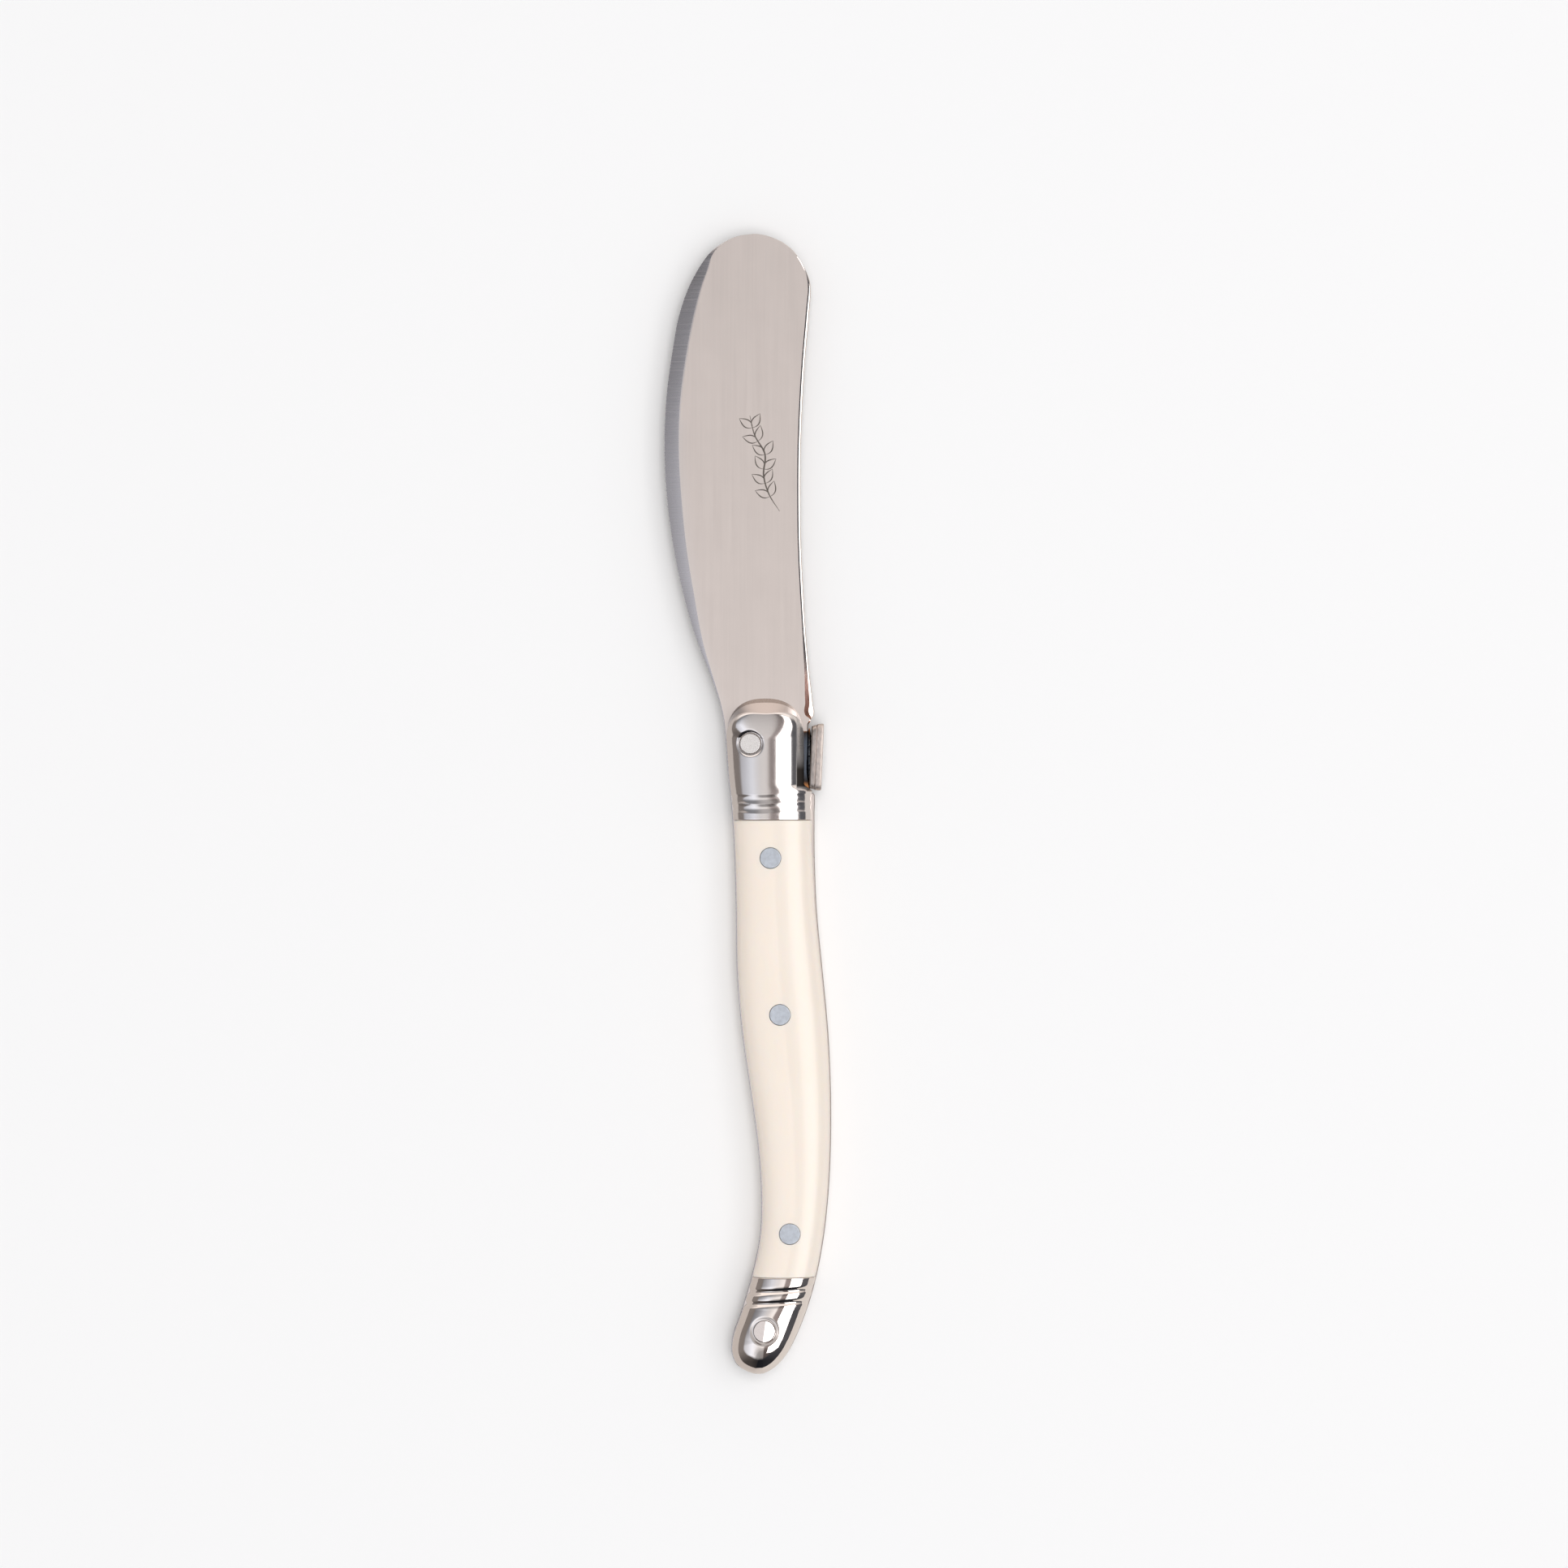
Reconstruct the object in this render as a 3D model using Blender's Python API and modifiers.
"""Butter spreader knife with a full tang, lying on its side.

+Y runs from the butt of the handle to the round tip of the blade, +X from the spreading edge
to the spine, and +Z up through the thickness. The origin is on the surface that the knife
lies on, under the middle of its outline. One steel plate makes the blade and the tang. Each
side of the tang carries a front bolster, a scale and a rear bolster, held by five pins, and a
plain plate stands on the spine above the front bolsters.
"""
import math

import bmesh
import bpy
import numpy as np

MM = 0.001

# Thickness, along Z.
BLADE_THICKNESS = 1.5 * MM
HANDLE_THICKNESS = 9.5 * MM
GAP = 0.3 * MM                     # clearance between pieces that touch
MID_PLANE = HANDLE_THICKNESS / 2
TANG_FACE = BLADE_THICKNESS / 2    # from the mid-plane to a face of the tang
CROWN = HANDLE_THICKNESS / 2       # from the mid-plane to the flat top of a handle piece

# Blade and tang, from the tip to the butt: y, x of the edge side, x of the spine side, width of
# the bevel along the edge and width of the shoulder along the spine, in millimetres.
BLADE_ROWS = [
    (82.55, 0.75, 1.50, 0.12, 0.12),
    (82.20, -1.55, 3.10, 0.12, 0.12),
    (81.35, -3.40, 5.05, 0.12, 0.12),
    (79.90, -5.38, 6.80, 0.50, 0.12),
    (77.30, -7.28, 8.40, 1.50, 0.12),
    (75.40, -8.30, 9.05, 1.85, 0.45),
    (71.60, -9.72, 8.95, 2.25, 0.62),
    (65.00, -11.00, 8.38, 2.25, 0.62),
    (58.00, -11.84, 7.95, 2.20, 0.62),
    (51.00, -12.05, 7.70, 2.25, 0.62),
    (44.00, -11.65, 7.66, 2.25, 0.62),
    (37.00, -10.70, 7.77, 2.00, 0.62),
    (30.00, -9.20, 8.11, 1.60, 0.62),
    (24.00, -7.47, 8.48, 0.90, 0.62),
    (18.00, -5.14, 9.06, 0.25, 0.85),
    (14.50, -3.98, 9.46, 0.12, 1.15),
    (12.80, -3.60, 9.58, 0.12, 1.20),
]
TANG_CHAMFER = 0.12
TANG_OUTLINE = [
    (12.20, -3.50, 9.20),
    (11.60, -3.43, 8.80),
    (10.40, -3.30, 8.75),
    (3.60, -2.78, 8.75),
    (1.75, -2.56, 8.75),
    (1.45, -2.53, 9.60),
    (1.10, -2.50, 9.68),
    (-1.00, -2.30, 9.69),
    (-6.40, -1.98, 9.69),
    (-15.20, -1.71, 10.00),
    (-24.10, -1.57, 10.84),
    (-33.00, -0.83, 11.66),
    (-41.70, 0.41, 12.05),
    (-49.00, 1.42, 12.05),
    (-56.40, 1.95, 11.70),
    (-62.30, 1.78, 11.08),
    (-68.00, 0.66, 10.05),
    (-73.60, -0.99, 8.44),
    (-77.35, -2.22, 6.91),
    (-79.20, -2.36, 5.96),
    (-81.10, -1.63, 4.48),
    (-82.10, -0.20, 3.10),
    (-82.55, 1.20, 1.90),
]
TANG_ROWS = [row + (TANG_CHAMFER, TANG_CHAMFER) for row in TANG_OUTLINE]
ROW_STEPS = 3                      # spans of the smooth curve between two rows
EDGE_THICKNESS = 0.12 * MM         # left standing where the bevel is ground full width
FULL_BEVEL = 2.25 * MM
SHOULDER_DROP = 0.55               # drop of the spine shoulder for each unit of its width

# Handle pieces. Each has upright walls at the tang, then a rounded shoulder up to its crown.
WALL = 0.5 * MM
SHOULDER_SPANS = 5
SCALE_SHOULDER = 3.6 * MM
SCALE_INSET = 0.22 * MM
SCALE_FRONT = -2.5 * MM
SCALE_REAR = -68.2 * MM
SCALE_STATIONS = 24

FRONT_SHOULDER = 3.0 * MM
FRONT_REAR_END = -2.2 * MM
FRONT_OUTLINE = [                  # y, x of the edge side, x of the spine side
    (-2.20, -2.10, 9.27),
    (1.70, -2.42, 9.30),
    (2.70, -2.55, 8.25),
    (6.00, -2.88, 8.15),
    (9.40, -3.10, 8.18),
]
FRONT_GROOVES = [1.05 * MM, -0.15 * MM, -1.30 * MM]
NOSE_LENGTH = 5.85 * MM
NOSE_SQUARENESS = 2.4              # 2 would be an ellipse
NOSE_RIBS = 10

REAR_SHOULDER = 4.3 * MM
REAR_INSET = 0.12 * MM
REAR_FRONT_END = -68.5 * MM
REAR_GROOVES = [-70.40 * MM, -72.10 * MM]
BUTT_CENTRE = (2.35 * MM, -77.40 * MM)
BUTT_RIBS = 10
GROOVE_WIDTH = 0.7 * MM
GROOVE_DEPTH = 0.28 * MM

# Pins: name, x, y, radius and whether its ends sit in a dish.
PINS = [
    ("front_bolster_pin", 0.38 * MM, 8.70 * MM, 1.45 * MM, True),
    ("front_scale_pin", 3.29 * MM, -7.80 * MM, 1.50 * MM, False),
    ("middle_scale_pin", 4.66 * MM, -30.40 * MM, 1.50 * MM, False),
    ("rear_scale_pin", 6.08 * MM, -62.00 * MM, 1.50 * MM, False),
    ("rear_bolster_pin", 2.41 * MM, -76.05 * MM, 1.55 * MM, True),
]
PIN_SINK = 0.05 * MM               # how far a pin's ends lie under the crown
PIN_CHAMFER = 0.1 * MM
DISH_DEPTH = 0.35 * MM
DISH_LIP = 0.35 * MM               # ring of the dish outside the pin hole
ROUND_SIDES = 32

# Plain plate on the spine, a rounded oblong.
PLATE_CENTRE = (9.95 * MM, 6.78 * MM)
PLATE_THICKNESS = 1.6 * MM
PLATE_LENGTH = 9.6 * MM
PLATE_WIDTH = 6.0 * MM
PLATE_CORNER = 1.8 * MM
PLATE_BEVEL = 0.3 * MM
PLATE_LEAN = math.radians(-1.0)

SHARP_ANGLE = math.radians(32)


def clear_scene():
    for old in list(bpy.data.objects):
        bpy.data.objects.remove(old, do_unlink=True)


def new_collection(name):
    collection = bpy.data.collections.new(name)
    bpy.context.scene.collection.children.link(collection)
    return collection


def new_material(name, colour, metallic, roughness):
    material = bpy.data.materials.new(name)
    material.use_nodes = True
    shader = material.node_tree.nodes["Principled BSDF"]
    shader.inputs["Base Color"].default_value = (*colour, 1.0)
    shader.inputs["Metallic"].default_value = metallic
    shader.inputs["Roughness"].default_value = roughness
    material.diffuse_color = (*colour, 1.0)
    return material


def smooth_rows(rows, steps):
    """Cubic curve through rows of numbers, each column with the slope of its neighbours."""
    knots = np.array(rows)
    spans = np.linalg.norm(np.diff(knots[:, :3], axis=0), axis=1)
    place = np.concatenate(([0.0], np.cumsum(spans)))
    slope = np.gradient(knots, place, axis=0)
    count = len(knots)
    fine = np.linspace(0, count - 1, (count - 1) * steps + 1)
    start = np.minimum(fine.astype(int), count - 2)
    part = (fine - start)[:, None]
    span = spans[start][:, None]
    return ((2 * part**3 - 3 * part**2 + 1) * knots[start]
            + (part**3 - 2 * part**2 + part) * span * slope[start]
            + (3 * part**2 - 2 * part**3) * knots[start + 1]
            + (part**3 - part**2) * span * slope[start + 1])


def tang_outline(y):
    """x of the edge side and of the spine side of the tang at each y."""
    rows = smooth_rows(TANG_OUTLINE, ROW_STEPS)[::-1] * MM
    return np.interp(y, rows[:, 0], rows[:, 1]), np.interp(y, rows[:, 0], rows[:, 2])


def finish_piece(name, mesh, material, collection, parent):
    """Place a mesh, drawn about the mid-plane, as a named piece of the knife."""
    mesh.shade_smooth()
    mesh.set_sharp_from_angle(angle=SHARP_ANGLE)
    mesh.materials.append(material)
    piece = bpy.data.objects.new(name, mesh)
    piece.location = (0, 0, MID_PLANE)
    piece.parent = parent
    collection.objects.link(piece)
    return piece


def loft(name, rings, cap_end):
    """Closed skin over a row of rings; the last ring is capped or already folded shut."""
    ring_count, side_count, _ = rings.shape
    bm = bmesh.new()
    corners = [[bm.verts.new(point) for point in ring] for ring in rings]
    for lower, upper in zip(corners, corners[1:]):
        for side in range(side_count):
            after = (side + 1) % side_count
            bm.faces.new((lower[side], lower[after], upper[after], upper[side]))
    bm.faces.new(corners[0])
    if cap_end:
        bm.faces.new(corners[-1])
    bmesh.ops.remove_doubles(bm, verts=bm.verts, dist=0.001 * MM)
    bmesh.ops.dissolve_degenerate(bm, edges=bm.edges, dist=0.001 * MM)
    bmesh.ops.recalc_face_normals(bm, faces=bm.faces)
    mesh = bpy.data.meshes.new(name)
    bm.to_mesh(mesh)
    bm.free()
    return mesh


def blade_mesh():
    """Eight-sided rings: edge, bevel, flat face and spine shoulder, above and below."""
    y, edge, spine, bevel, shoulder = smooth_rows(BLADE_ROWS + TANG_ROWS, ROW_STEPS).T * MM
    half_edge = TANG_FACE - (TANG_FACE - EDGE_THICKNESS / 2) * bevel / FULL_BEVEL
    half_spine = TANG_FACE - SHOULDER_DROP * shoulder
    face = np.full_like(y, TANG_FACE)
    across = [edge, edge + bevel, spine - shoulder, spine]
    height = [half_edge, face, face, half_spine]
    x = np.stack(across + across[::-1], axis=1)
    z = np.stack(height + [-level for level in height[::-1]], axis=1)
    rings = np.stack([x, np.broadcast_to(y[:, None], x.shape), z], axis=2)
    return loft("blade", rings, cap_end=True)


def rib(left, middle, right, side, shoulder, sunk=0.0):
    """Ring of a handle piece: up from the tang on the left, over the crown, down on the right.

    The shoulder is a quarter of an ellipse. It starts upright at the outline and lies flat
    at the crown, a shoulder's width closer to the middle.
    """
    turn = np.linspace(0, math.pi / 2, SHOULDER_SPANS + 1)
    flanks = []
    for outline in (left, right):
        inward = np.subtract(middle, outline)
        reach = np.linalg.norm(inward)
        width = min(shoulder, reach) - sunk
        travel = np.concatenate(([sunk], sunk + width * (1 - np.cos(turn))))
        rise = CROWN - TANG_FACE - GAP - WALL - sunk
        height = np.concatenate(([0.0], WALL + rise * np.sin(turn)))
        flank = np.array(outline) + inward / reach * travel[:, None]
        flanks.append(np.column_stack([flank, side * (TANG_FACE + GAP + height)]))
    top = np.array([[*middle, side * (CROWN - sunk)]])
    return np.concatenate([flanks[0], top, flanks[1][::-1]])


def stations(start, end, count, grooves):
    """Places along the handle with the depth there: a dip of three places at each groove."""
    places = {y: 0.0 for y in np.linspace(start, end, count)}
    for groove in grooves:
        places = {y: sunk for y, sunk in places.items() if abs(y - groove) > GROOVE_WIDTH / 2}
        places.update({groove - GROOVE_WIDTH / 2: 0.0, groove: GROOVE_DEPTH,
                       groove + GROOVE_WIDTH / 2: 0.0})
    return sorted(places.items(), reverse=bool(start > end))


def scale_mesh(side):
    rings = []
    for y, sunk in stations(SCALE_FRONT, SCALE_REAR, SCALE_STATIONS, []):
        edge, spine = tang_outline(y)
        left = (edge + SCALE_INSET, y)
        right = (spine - SCALE_INSET, y)
        middle = ((edge + spine) / 2, y)
        rings.append(rib(left, middle, right, side, SCALE_SHOULDER, sunk))
    return loft("scale", np.array(rings), cap_end=True)


def front_bolster_mesh(side):
    """Straight body with a grooved collar at the scale, and a rounded nose on the blade."""
    outline = np.array(FRONT_OUTLINE) * MM
    nose_start = outline[-1, 0]
    middle_x = (outline[-1, 1] + outline[-1, 2]) / 2
    half_width = (outline[-1, 2] - outline[-1, 1]) / 2
    step_places = list(outline[1:3, 0])
    places = stations(FRONT_REAR_END, nose_start, 6, FRONT_GROOVES)
    places += [(y, 0.0) for y in step_places if all(abs(y - near) > 0.1 * MM for near, _ in places)]
    rings = []
    for y, sunk in sorted(places):
        left = (np.interp(y, outline[:, 0], outline[:, 1]), y)
        right = (np.interp(y, outline[:, 0], outline[:, 2]), y)
        rings.append(rib(left, (middle_x, y), right, side, FRONT_SHOULDER, sunk))
    for turn in np.linspace(0, math.pi / 2, NOSE_RIBS + 1)[1:]:
        across = half_width * max(math.cos(turn), 0.0) ** (2 / NOSE_SQUARENESS)
        ahead = nose_start + NOSE_LENGTH * math.sin(turn) ** (2 / NOSE_SQUARENESS)
        left = (middle_x - across, ahead)
        right = (middle_x + across, ahead)
        rings.append(rib(left, (middle_x, nose_start), right, side, FRONT_SHOULDER))
    return loft("front_bolster", np.array(rings), cap_end=False)


def rear_bolster_mesh(side):
    """Grooved band at the scale, then a dome whose ribs fan round the butt."""
    centre_x, centre_y = BUTT_CENTRE
    butt = TANG_OUTLINE[-1][0] * MM + REAR_INSET
    rings = []
    for y, sunk in stations(REAR_FRONT_END, centre_y, 6, REAR_GROOVES):
        edge, spine = tang_outline(y)
        left = (edge + REAR_INSET, y)
        right = (spine - REAR_INSET, y)
        middle = ((edge + spine) / 2, y)
        rings.append(rib(left, middle, right, side, REAR_SHOULDER, sunk))
    rings[-1] = rib(left, BUTT_CENTRE, right, side, REAR_SHOULDER)
    for turn in np.linspace(0, math.pi / 2, BUTT_RIBS + 1)[1:]:
        y = centre_y + (butt - centre_y) * math.sin(turn)
        edge, spine = tang_outline(y)
        left_x = edge + REAR_INSET
        right_x = spine - REAR_INSET
        if turn > math.pi / 2 - 0.001:
            left_x = right_x = (edge + spine) / 2
        rings.append(rib((left_x, y), BUTT_CENTRE, (right_x, y), side, REAR_SHOULDER))
    return loft("rear_bolster", np.array(rings), cap_end=False)


def pin_piece(name, x, y, radius, material, collection, parent):
    half_length = CROWN - PIN_SINK
    bpy.ops.mesh.primitive_cylinder_add(vertices=ROUND_SIDES, radius=radius,
                                        depth=2 * half_length, location=(x, y, MID_PLANE))
    pin = bpy.context.object
    pin.name = name
    pin.parent = parent
    chamfer = pin.modifiers.new("chamfer", "BEVEL")
    chamfer.width = PIN_CHAMFER
    chamfer.segments = 1
    pin.data.shade_smooth()
    pin.data.set_sharp_from_angle(angle=SHARP_ANGLE)
    pin.data.materials.append(material)
    move_to(pin, collection)
    return pin


def plate_piece(material, collection, parent):
    """Oblong plate across the spine, with round corners and an eased rim."""
    bm = bmesh.new()
    bmesh.ops.create_cube(bm, size=1.0)
    bmesh.ops.scale(bm, verts=bm.verts, vec=(PLATE_THICKNESS, PLATE_LENGTH, PLATE_WIDTH))
    corners = [edge for edge in bm.edges
               if abs(edge.verts[0].co.x - edge.verts[1].co.x) > PLATE_THICKNESS / 2]
    bmesh.ops.bevel(bm, geom=corners, offset=PLATE_CORNER, segments=6, profile=0.5, affect="EDGES")
    mesh = bpy.data.meshes.new("spine_plate")
    bm.to_mesh(mesh)
    bm.free()
    plate = finish_piece("spine_plate", mesh, material, collection, parent)
    plate.location = (*PLATE_CENTRE, MID_PLANE)
    plate.rotation_euler.z = PLATE_LEAN
    bevel = plate.modifiers.new("rounded_rim", "BEVEL")
    bevel.width = PLATE_BEVEL
    bevel.segments = 2
    return plate


def move_to(piece, collection):
    for holder in list(piece.users_collection):
        holder.objects.unlink(piece)
    collection.objects.link(piece)


def cutter(name, lower_radius, upper_radius, depth, place, collection, parent):
    """Round cutter, straight for a hole or flared for a dish."""
    bm = bmesh.new()
    bmesh.ops.create_cone(bm, cap_ends=True, segments=ROUND_SIDES, radius1=lower_radius,
                          radius2=upper_radius, depth=depth)
    mesh = bpy.data.meshes.new(name)
    bm.to_mesh(mesh)
    bm.free()
    tool = bpy.data.objects.new(name, mesh)
    tool.location = place
    tool.parent = parent
    tool.hide_render = True
    tool.display_type = "WIRE"
    collection.objects.link(tool)
    return tool


def cut(piece, tool):
    hole = piece.modifiers.new("cut_" + tool.name, "BOOLEAN")
    hole.operation = "DIFFERENCE"
    hole.solver = "EXACT"
    hole.object = tool


def hole_cutter(name, x, y, radius, collection, parent):
    bore = radius + GAP
    return cutter(name + "_hole", bore, bore, 2 * HANDLE_THICKNESS, (x, y, MID_PLANE), collection, parent)


def dish_cutter(name, x, y, radius, side, collection, parent):
    """Flared ring round a bolster pin, twice as tall as the dish so that it clears the crown."""
    narrow = radius + GAP
    wide = narrow + 2 * DISH_LIP
    lower, upper = (narrow, wide) if side > 0 else (wide, narrow)
    place = (x, y, MID_PLANE + side * CROWN)
    return cutter(f"{name}_dish_{side:+d}", lower, upper, 2 * DISH_DEPTH, place, collection, parent)


def main():
    clear_scene()
    parts = new_collection("butter_spreader")
    cutters = new_collection("butter_spreader_cutters")
    knife = bpy.data.objects.new("knife_frame", None)
    parts.objects.link(knife)

    blade_steel = new_material("satin_blade_steel", (0.56, 0.51, 0.49), 1.0, 0.32)
    bolster_steel = new_material("polished_bolster_steel", (0.62, 0.60, 0.59), 1.0, 0.18)
    pin_steel = new_material("pin_steel", (0.70, 0.70, 0.71), 1.0, 0.25)
    plate_steel = new_material("rough_plate_steel", (0.38, 0.34, 0.33), 1.0, 0.45)
    ivory = new_material("ivory_plastic", (0.89, 0.82, 0.70), 0.0, 0.20)

    blade = finish_piece("blade", blade_mesh(), blade_steel, parts, knife)
    crossed = {"front": [blade], "scale": [blade], "rear": [blade]}
    for side, hand in ((1, "left"), (-1, "right")):
        front = finish_piece(f"{hand}_front_bolster", front_bolster_mesh(side),
                             bolster_steel, parts, knife)
        scale = finish_piece(f"{hand}_scale", scale_mesh(side), ivory, parts, knife)
        rear = finish_piece(f"{hand}_rear_bolster", rear_bolster_mesh(side),
                            bolster_steel, parts, knife)
        crossed["front"].append(front)
        crossed["scale"].append(scale)
        crossed["rear"].append(rear)

    for name, x, y, radius, dished in PINS:
        pin_piece(name, x, y, radius, pin_steel, parts, knife)
        hole = hole_cutter(name, x, y, radius, cutters, knife)
        group = "scale" if "scale" in name else name.split("_")[0]
        for piece in crossed[group]:
            cut(piece, hole)
        if dished:
            for piece, side in zip(crossed[group][1:], (1, -1)):
                cut(piece, dish_cutter(name, x, y, radius, side, cutters, knife))

    plate_piece(plate_steel, parts, knife)


main()
